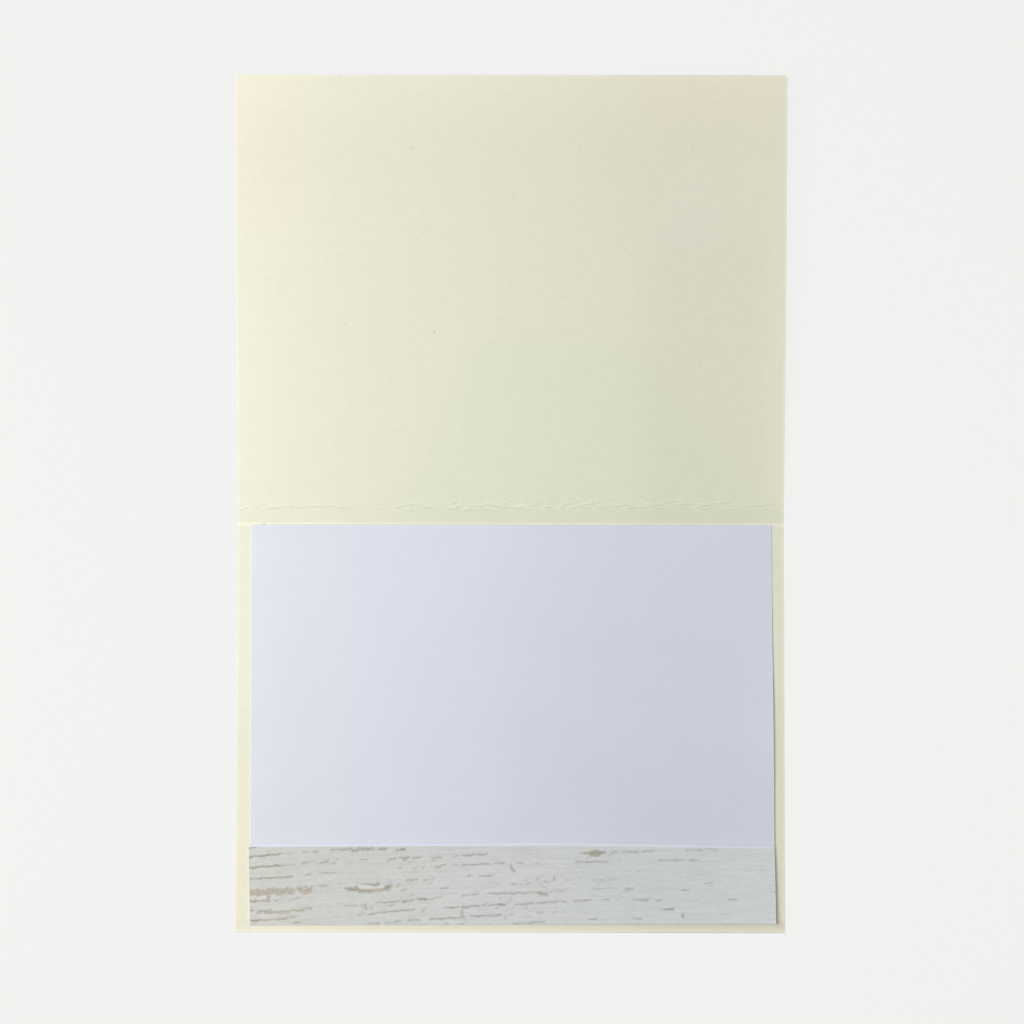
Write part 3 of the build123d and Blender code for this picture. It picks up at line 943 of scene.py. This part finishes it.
CRACKS = [
    (-0.3, 0.6, 2.9, 0.1, 0.35, 0.8), (-0.3, 2.9, 8.1, 1.95, 0.42, 1), (8, 1.95, 11.6, 1.75, 0.25, 0.4),
    (-0.3, 5.55, 8.4, 4.85, 0.42, 0.95), (8, 4.85, 11.6, 4.7, 0.25, 0.5),
    (-0.3, 8.45, 3.2, 8.15, 0.35, 0.8), (3, 8.15, 11, 7.8, 0.36, 0.85), (-0.3, 14, 4.4, 13.8, 0.36, 0.85),
    (6.3, 13.75, 7.9, 13.65, 0.32, 0.55), (10.2, 13.75, 12.9, 12.95, 0.34, 0.5),
    (-0.3, 16.2, 1, 16.3, 0.42, 0.9), (2, 16.1, 3.6, 16.4, 0.34, 0.6), (3.8, 16.4, 5.9, 15.95, 0.36, 0.6),
    (13.6, 16.1, 15.9, 15.6, 0.4, 0.75), (-0.3, 18.8, 3.3, 18.7, 0.42, 0.95),
    (3.3, 18.65, 9.5, 18.45, 0.3, 0.7), (11.3, 19.3, 13.5, 19.4, 0.35, 0.9),
    (28.7, 9.7, 30.5, 9.6, 0.28, 0.7), (30.2, 9.6, 32, 9.7, 0.34, 0.8), (31.7, 9.8, 33.3, 9.65, 0.5, 1),
    (27.3, 10.1, 27.5, 10.6, 0.4, 1), (25.7, 11.1, 27.8, 11.05, 0.36, 1),
    (24.4, 10.65, 26.6, 10.8, 0.55, 0.8), (27.9, 11.45, 31.5, 11.5, 0.5, 0.75),
    (34.8, 10.7, 36.1, 10.3, 0.5, 1), (36.3, 9.85, 38.1, 9.75, 0.3, 0.3),
    (37.6, 10.2, 38.5, 9.5, 0.4, 0.55), (38.8, 11.2, 40.3, 11, 0.36, 0.6), (35.6, 8.7, 36.3, 9, 0.4, 0.45),
    (28.5, 14.7, 29.2, 15.75, 0.34, 0.4), (29.6, 14.7, 30.1, 16, 0.5, 0.8),
    (31.1, 15.2, 31.3, 16, 0.4, 0.6), (13.8, 1.55, 15.2, 1.45, 0.32, 0.7),
    (16.1, 1.45, 17.7, 1.35, 0.32, 0.7), (13.4, 4.45, 15.6, 4.05, 0.32, 0.65),
    (14.6, 7.3, 15.8, 7.1, 0.34, 0.75), (18.2, 4.4, 20.3, 3.75, 0.34, 0.7),
    (21.2, 4.3, 22.2, 4.1, 0.36, 0.6), (22.2, 3.3, 23, 3.1, 0.28, 0.45), (18, 6.85, 22.4, 6.65, 0.3, 0.55),
    (17.8, 10.15, 20.3, 10.05, 0.28, 0.55), (15, 10.9, 16.2, 10.1, 0.34, 0.6),
    (21, 1, 26.4, 0.7, 0.34, 0.85), (26.4, 1.4, 28.2, 0.7, 0.5, 0.85), (27.6, 0.5, 32, 0.65, 0.55, 0.7),
    (30.2, 0.9, 31.2, 0.6, 0.45, 0.75), (33, 0.75, 35.2, 0.6, 0.5, 0.95),
    (37.6, 1.2, 39.9, 0.55, 0.45, 0.9), (28.2, 3.4, 30.6, 3.4, 0.26, 0.55),
    (24.2, 15.05, 27.5, 15, 0.32, 0.6), (35.5, 3.7, 37.4, 3.1, 0.42, 0.75),
    (38.4, 2.95, 41.1, 2.8, 0.38, 0.8), (39.4, 3.6, 40.2, 3.2, 0.4, 0.7),
    (41.9, 2.95, 44.1, 2.8, 0.38, 0.8), (40.9, 4.2, 42.2, 3.7, 0.36, 0.6), (38, 5.7, 38.9, 5.5, 0.34, 0.6),
    (41.8, 5.6, 42.7, 5.5, 0.36, 0.5), (44.3, 5.5, 45.1, 5.3, 0.36, 0.6),
    (46.7, 2.9, 49.4, 2.75, 0.32, 0.65), (46.8, 3.6, 47.6, 3.4, 0.36, 0.6),
    (47.8, 5.3, 50.3, 4.75, 0.38, 0.85), (52.2, 2.65, 53.7, 2.4, 0.4, 0.65),
    (54.3, 2.35, 60.9, 1.85, 0.36, 0.85), (51.8, 4.75, 53.7, 4.7, 0.28, 0.45),
    (54.3, 4.8, 61.9, 4.35, 0.32, 0.85), (62.6, 4.3, 65.3, 4.15, 0.34, 0.85),
    (68.3, 4.2, 70.2, 4.15, 0.34, 0.65), (73.1, 4.3, 74.1, 4.2, 0.36, 0.5),
    (55.8, 7.6, 56.8, 7.4, 0.4, 0.6), (58.8, 7.6, 62.4, 7.35, 0.34, 0.75),
    (40, 8.55, 43.3, 8.45, 0.32, 0.75), (44.6, 8.6, 45.9, 8.5, 0.34, 0.6), (46.7, 8.8, 47.3, 8, 0.34, 0.6),
    (45.8, 9.6, 46.6, 9.3, 0.36, 0.45), (48.8, 10.65, 50.7, 10.55, 0.3, 0.7),
    (54.3, 12.65, 58.6, 12, 0.28, 0.75), (32.5, 14.35, 34.9, 14.2, 0.36, 0.75),
    (35.1, 14.2, 38.8, 13.9, 0.34, 0.75), (39.1, 14, 40.4, 13.9, 0.5, 0.8),
    (40.8, 13.9, 42.3, 13.6, 0.38, 0.8), (43.1, 13.5, 45.5, 13.3, 0.55, 0.85),
    (45.8, 13.6, 46.8, 13.4, 0.34, 0.6), (47, 13, 49.4, 12.8, 0.26, 0.6),
    (35.7, 15.2, 36.8, 15.1, 0.36, 0.6), (41.1, 12.6, 42, 12.4, 0.38, 0.6),
    (30.4, 17.3, 34.2, 16.75, 0.28, 0.75), (34, 16.75, 42.3, 16.05, 0.3, 0.85),
    (30.4, 19.65, 33.2, 19.5, 0.38, 0.75), (34.6, 19.55, 36.1, 19.4, 0.36, 0.6),
    (36.5, 19.35, 38.9, 18.8, 0.32, 0.7), (40.6, 18.75, 43.4, 18.65, 0.3, 0.75),
    (49.7, 15.65, 53.7, 15.45, 0.36, 0.85), (54.1, 15.45, 58.7, 15.15, 0.42, 0.9),
    (59.2, 15, 60.6, 14.7, 0.34, 0.6), (45.9, 18.55, 55.1, 18, 0.36, 0.9),
    (56.4, 17.85, 64.4, 17.5, 0.4, 0.9), (44.1, 16.2, 44.9, 15.8, 0.36, 0.5),
    (50.1, 19.7, 50.8, 19.5, 0.36, 0.6), (53.2, 19.9, 54.8, 19.85, 0.3, 0.6),
    (66.7, 4.7, 67.3, 5.7, 0.46, 1), (67.1, 5.3, 67.8, 6.4, 0.54, 1), (77.8, 8.8, 78.1, 7.3, 0.38, 0.8),
    (63, 9.7, 63.8, 9.5, 0.42, 0.6), (66.9, 9.65, 68, 9.5, 0.4, 0.65), (69.1, 9.6, 69.9, 9.5, 0.36, 0.45),
    (70.8, 9.65, 72, 9.45, 0.36, 0.7), (70.4, 8.8, 71.3, 8.5, 0.34, 0.55), (73.2, 8, 74.1, 8.3, 0.34, 0.7),
    (75.4, 8.9, 76.9, 9.2, 0.36, 0.65), (74.5, 9.7, 75.1, 10.4, 0.36, 0.65),
    (75.2, 10.45, 76.1, 10.5, 0.32, 0.6), (79.5, 7.5, 80.2, 7.2, 0.32, 0.5),
    (80.9, 8.4, 81.5, 8.9, 0.34, 0.6), (79.6, 9.6, 80.5, 9.45, 0.3, 0.4), (82.9, 9.7, 83.5, 9.5, 0.32, 0.4),
    (83.3, 6, 83.5, 6.7, 0.32, 0.5), (85.1, 6.5, 85.6, 6.3, 0.32, 0.4), (61, 12, 65.9, 11.95, 0.38, 0.85),
    (66, 12, 69.5, 11.85, 0.36, 0.8), (69.6, 11.85, 74.6, 11.6, 0.34, 0.85),
    (74.5, 11.65, 77.4, 11.65, 0.3, 0.6), (78, 11.5, 80.2, 11.35, 0.36, 0.65),
    (59.3, 15, 60.6, 14.85, 0.34, 0.55), (61.1, 15, 65.4, 14.8, 0.38, 0.85),
    (67.8, 14.9, 72.7, 14.5, 0.38, 0.9), (73.1, 14.45, 77, 14.2, 0.34, 0.85),
    (76.8, 14.15, 80.9, 14, 0.36, 0.85), (83, 14.05, 87.6, 13.55, 0.36, 0.9),
    (90.1, 13.65, 91.9, 13.55, 0.36, 0.85), (66.1, 14.5, 66.5, 13.6, 0.36, 0.6),
    (66.6, 13.5, 67, 12.9, 0.3, 0.45), (63.9, 13.7, 64.5, 13.4, 0.32, 0.4),
    (62.9, 15.9, 63.7, 15.7, 0.38, 0.5), (70.2, 15.7, 70.9, 15.5, 0.36, 0.55),
    (66.2, 17.4, 67.7, 17.25, 0.28, 0.45), (65.1, 18.4, 65.8, 18.2, 0.38, 0.7),
    (54.5, 15.24, 54.3, 17.78, 0.45, 0.8), (73.3, 16.9, 75.2, 16.75, 0.34, 0.65),
    (77.5, 16.9, 78.6, 16.7, 0.34, 0.55), (70.7, 18.2, 71.9, 18, 0.32, 0.45),
    (67.2, 19.7, 71.4, 19.55, 0.34, 0.75), (71.2, 19.6, 75.4, 19.15, 0.38, 0.75),
    (83.5, 3.95, 91.7, 3.85, 0.4, 0.9), (84.4, 1.75, 86.7, 1.55, 0.4, 0.7),
    (89.6, 1.5, 91.1, 1.3, 0.45, 0.75), (87.3, 1.54, 89.9, 1.64, 0.9, 0.6),
    (88, 1.13, 89.2, 1.13, 0.7, 0.5), (88.2, 2.10, 89.7, 2.15, 0.6, 0.45),
    (86.1, 3.1, 86.6, 2.8, 0.34, 0.6), (87.8, 8.55, 90.9, 8.45, 0.32, 0.65),
    (87.5, 10.85, 92.3, 10.65, 0.28, 0.65), (86.7, 18.7, 88.8, 18.45, 0.32, 0.65),
    (91.6, 2.1, 93.2, 1.7, 0.34, 0.6), (93, 1.5, 94.2, 1.05, 0.4, 0.75),
    (95.3, 1.3, 97.6, 1.25, 0.38, 0.85), (97.6, 1.35, 99.8, 1.2, 0.46, 0.8),
    (100.4, 1.15, 103.4, 1.15, 0.42, 0.85), (104.6, 3.55, 106.8, 3.4, 0.4, 0.85),
    (107.2, 3.5, 111.2, 3.3, 0.34, 0.8), (112.3, 3.45, 115, 3.4, 0.36, 0.8),
    (111.6, 0.8, 115.9, 0.75, 0.38, 0.85), (116.5, 0.5, 119.5, 0.7, 0.34, 0.65),
    (94.3, 3.75, 95, 3.6, 0.4, 0.5), (99, 6.25, 100, 6.15, 0.34, 0.45), (89.7, 8.55, 90.8, 8.5, 0.34, 0.4),
    (91.7, 8.45, 93.8, 8.3, 0.36, 0.5), (92.3, 10.7, 94.1, 10.75, 0.28, 0.45),
    (95.8, 10.85, 98.3, 10.8, 0.38, 0.8), (94, 13.75, 94.9, 13.65, 0.34, 0.4),
    (97.9, 13.65, 100, 13.6, 0.34, 0.75), (99.8, 13.7, 102.1, 13.6, 0.42, 0.85),
    (103.8, 13.8, 105.5, 13.75, 0.42, 0.8), (105.1, 16.3, 108.5, 15.95, 0.36, 0.75),
    (97.9, 18.5, 100, 18.4, 0.38, 0.7), (110.2, 11.15, 112.6, 11.1, 0.34, 0.75),
    (116.4, 9.35, 117.2, 9.3, 0.36, 0.75), (117.3, 9.35, 118.3, 9.3, 0.38, 0.85),
    (117, 10.05, 118, 10, 0.28, 0.4), (120.3, 17.35, 122.4, 17.3, 0.28, 0.4),
    (122.4, 13.55, 124.4, 13.7, 0.44, 0.9), (133.2, 11.7, 134.4, 11.7, 0.36, 0.6),
    (121, 14.6, 121.7, 14.4, 0.28, 0.3), (95.5, 17, 96.8, 16.9, 0.28, 0.35),
]
BARE_WOOD = [
    (-0.6, 11.65, 4.9, 11.6, 1.5, 1), (4.4, 11.45, 11.5, 11.4, 1.75, 1), (11.3, 11.4, 12.6, 11.1, 1, 0.7),
    (12.3, 10.85, 13.8, 11.1, 1.5, 0.95), (13.6, 11.45, 16.1, 11.3, 1.3, 0.95),
    (13.8, 10.35, 14.9, 10.5, 0.7, 0.8), (4.9, 12.5, 5, 14.1, 1, 1), (1.9, 12.2, 3, 12.4, 0.7, 0.9),
    (-0.6, 13.45, 2.1, 13.95, 0.6, 0.5), (1.8, 16.9, 3.3, 16.75, 0.75, 0.8),
    (3.7, 16.75, 5.9, 16.65, 0.85, 1), (5.9, 16.7, 10.5, 16.45, 0.6, 0.8), (7.7, 17.1, 10, 17, 0.5, 0.6),
    (10.2, 16.25, 13.8, 16.2, 0.6, 0.85), (7.4, 18.2, 10.2, 18.1, 0.55, 0.6),
    (10.2, 17.9, 11.8, 17.8, 0.7, 0.7), (26.6, 1.2, 28, 1.2, 0.6, 0.6), (38.9, 0.9, 39.8, 0.85, 0.7, 0.9),
    (33.6, 0.9, 34.9, 0.8, 0.5, 0.6), (25.1, 10.45, 26.1, 10.15, 1.1, 0.35),
    (25.5, 11, 27.9, 10.95, 0.75, 1), (27.9, 11.2, 32.5, 11.25, 0.75, 0.9), (32, 11.1, 34.8, 11, 0.8, 0.85),
    (34.7, 10.6, 36.5, 10.2, 1.45, 1), (32.4, 8.95, 33.1, 9.3, 0.6, 0.6),
    (27.6, 17.7, 29.2, 16.6, 0.9, 0.45), (43.3, 13.5, 45.2, 13.4, 0.6, 0.5),
    (73.9, 11.9, 76.2, 12.5, 0.75, 0.95), (63.6, 14.7, 65.3, 14.9, 0.55, 0.75),
    (86.9, 1.7, 90, 1.7, 1.2, 1), (87.8, 1.3, 89.2, 1.3, 0.9, 0.9), (87.2, 2.2, 89.4, 2.3, 0.8, 0.8),
    (85.6, 1.7, 87.4, 1.6, 0.5, 0.6), (89.4, 1.5, 91, 1.4, 0.6, 0.6), (96, 11.2, 98, 11.15, 0.5, 0.35),
    (106, 16.15, 108.2, 16, 0.5, 0.6), (110.3, 17.45, 110.9, 18.1, 0.9, 0.9),
    (86.8, 18.6, 88.6, 18.5, 0.35, 0.5), (100.2, 13.8, 101.8, 13.7, 0.35, 0.3),
    (71.6, 19.4, 74, 19.3, 0.5, 0.4), (39.5, 13.9, 40.3, 13.9, 0.5, 0.4),
]
CREAM_FLECKS = [
    (0.1, 12.9, 1.5, 13.4, 0.8, 0.6), (2.4, 13.2, 4.4, 12.75, 0.6, 1), (4.6, 7.65, 6, 7.55, 0.3, 0.7),
    (3.4, 2.15, 6, 1.8, 0.3, 0.6), (0.4, 3.35, 4, 2.8, 0.3, 0.8), (4, 2.8, 8.2, 2.3, 0.26, 0.5),
    (0.6, 5.95, 5, 5.6, 0.28, 0.6), (0.2, 1, 2.4, 0.7, 0.26, 0.5), (2, 5, 7.6, 4.4, 0.26, 0.5),
    (3.2, 7.75, 9.6, 7.2, 0.28, 0.7), (1.8, 8.6, 8.4, 8.15, 0.24, 0.5), (1.2, 15.7, 5.6, 15.5, 0.28, 0.4),
    (6, 15.95, 11.6, 15.7, 0.26, 0.4), (1, 18.3, 6.4, 18.15, 0.26, 0.5), (28, 10.4, 30, 10.15, 0.75, 0.9),
    (29.7, 10.25, 32.5, 10.35, 0.6, 0.65), (32.4, 10.3, 34.6, 10.2, 0.6, 0.85),
    (11.8, 11.05, 12.4, 11.95, 0.5, 0.5), (20.2, 8.1, 21, 8.3, 0.6, 0.9), (21.4, 7.2, 22.4, 7.9, 0.4, 0.6),
    (50.2, 4.95, 50.9, 4.9, 0.4, 0.8), (53.4, 16.2, 53.4, 17.7, 0.3, 0.7),
    (67.6, 4.9, 68.2, 5.8, 0.45, 0.5), (65.9, 5, 66.5, 6.3, 0.4, 0.4), (84.8, 2.9, 91.6, 3.2, 0.7, 0.5),
    (85, 1, 91.4, 0.8, 0.4, 0.35), (123.2, 13.1, 124.8, 13, 0.35, 0.6),
    (116.4, 8.85, 118.4, 8.8, 0.3, 0.55), (111.2, 17.6, 111.7, 18, 0.5, 0.6),
    (9.4, 14.6, 10.4, 15.4, 0.35, 0.5), (11.4, 15.3, 12.4, 14.6, 0.3, 0.4), (34, 8.9, 35, 8.8, 0.35, 0.5),
    (6, 16, 12, 15.6, 0.25, 0.4), (73, 11.3, 76, 11.2, 0.3, 0.4), (61, 14.6, 65, 14.4, 0.25, 0.3),
    (54.8, 18.4, 60, 18.2, 0.25, 0.35), (45.8, 13.1, 46.6, 13, 0.3, 0.4),
]

# Kinds of marks: name in the mesh, marks, raggedness and sharpness. A ragged mark wanders, swells and
# fades by these shares of its width and strength, and every mark has a soft rim and round ends
MARKS = (("crack", CRACKS, 1.0, 2), ("bare", BARE_WOOD, 0.45, 4), ("cream", CREAM_FLECKS, 0.6, 2))
MARK_WANDER = 0.4
MARK_SWELL = 0.35
MARK_FADE = 0.3
MARK_SOFTNESS = 0.07
MARK_ROUND_END = 0.35
SWELL_RIPPLE = 40
FADE_RIPPLE = 80


def marks_on(along, down, marks, raggedness, sharpness):
    """Strength of a row of marks at each point of the strip's face."""
    strength = np.zeros_like(along)
    for number, (x0, d0, x1, d1, width, weight) in enumerate(marks):
        on, off, length = beside_line(along, down, (x0, d0), (x1, d1))
        off = off - raggedness * width * MARK_WANDER * ripple(on, number)
        beyond = np.maximum(np.maximum(-on, on - length) + width * MARK_ROUND_END, 0)
        swell = 1 + raggedness * MARK_SWELL * ripple(on * 1.3, number + SWELL_RIPPLE)
        reach = np.hypot(off, beyond) / (width / 2 * swell + MARK_SOFTNESS)
        fade = 1 - MARK_FADE * raggedness * (0.5 + 0.5 * ripple(on * 0.7, number + FADE_RIPPLE))
        strength = np.maximum(strength, weight * fade * np.exp(-(reach**sharpness)))
    return strength


def print_place(x, y, low, high):
    """Place on the print, along and down from its upper left corner."""
    along, down = x - low.x, high.y - y
    return PRINT_LENGTH * along + PRINT_LEAN * down, down + PRINT_NARROWING * along * down


def edge_light_and_shade(x, y, from_foot):
    """Painted shade line along the strip's foot, a painted highlight line above it, both stronger on the
    right, and painted highlights on the cuts of its right end and its top."""
    rightward = np.clip((x + 20) / 50, 0, 1)
    dark = bell(from_foot, FOOT_SHADE_WIDTH) * (0.3 + rightward)
    pale = 0.6 * rightward * bell(from_foot - FOOT_HIGHLIGHT_PLACE, FOOT_HIGHLIGHT_WIDTH)
    return pale - dark + 0.6 * cut_edge(x[:, -1:] - x) + 0.35 * cut_edge(0.6 * (y[-1] - y))


def patterned_strip():
    """Strip of printed paper across the sheet's foot. Its ends lean and its print is ragged."""
    low, high = (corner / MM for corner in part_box("wood_strip"))
    top_edge = (STRIP_TOP_CLIMB, STRIP_TOP_BOW)
    x, y, edge, from_foot = leaning_grid(low, high, STRIP_STEPS, STRIP_LEANS, *top_edge)
    base = STRIP_BASE + curl(x, y)
    near_side, near_top = (high.x - x) / SIDE_LIFT_WIDTH, (high.y - y) / STRIP_CORNER_DOWN
    corner = np.clip(1 - near_side, 0, 1) * np.clip(1 - near_top, 0, 1)
    top = base + STRIP_THICKNESS + lip(edge) - pressed(from_foot) - STRIP_CORNER_SINKS * corner
    under_y = y.copy()
    under_y[-1] += STRIP_TOP_SLANT
    materials = [whitewashed_print(), paper_core()]
    piece = grid_solid("patterned_strip", (x, y, top), (x, under_y, base), 5, materials)
    along, down = print_place(x, y, low, high)
    # Painted shade and highlights along the strip's cut edges
    store(piece, "edge_light_and_shade", edge_light_and_shade(x, y, from_foot))
    for name, *kind in MARKS:
        store(piece, name, marks_on(along, down, *kind))
    bend = np.minimum(along, GRAIN_LEVEL_FROM)
    climb = GRAIN_SLOPE * (bend - bend**2 / (2 * GRAIN_LEVEL_FROM))
    store(piece, "grain_run", along * MM, (down + climb) * MM, np.zeros_like(along))
    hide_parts("wood_strip", "print_cracks", "print_patches")
    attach(piece, BODY)


def tapes():
    """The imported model's own tapes, in their own film."""
    film = sticky_film()
    for name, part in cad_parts.items():
        if name.endswith("_tape") or name.startswith("sheet_tape"):
            part.data.materials.clear()
            part.data.materials.append(film)


photo_camera()
room_light()
for window in WINDOWS:
    soft_window(*window)
pale_floor()
card()
card_fibres()
message_sheet()
patterned_strip()
tapes()

view = bpy.context.scene.view_settings
view.view_transform = "Standard"
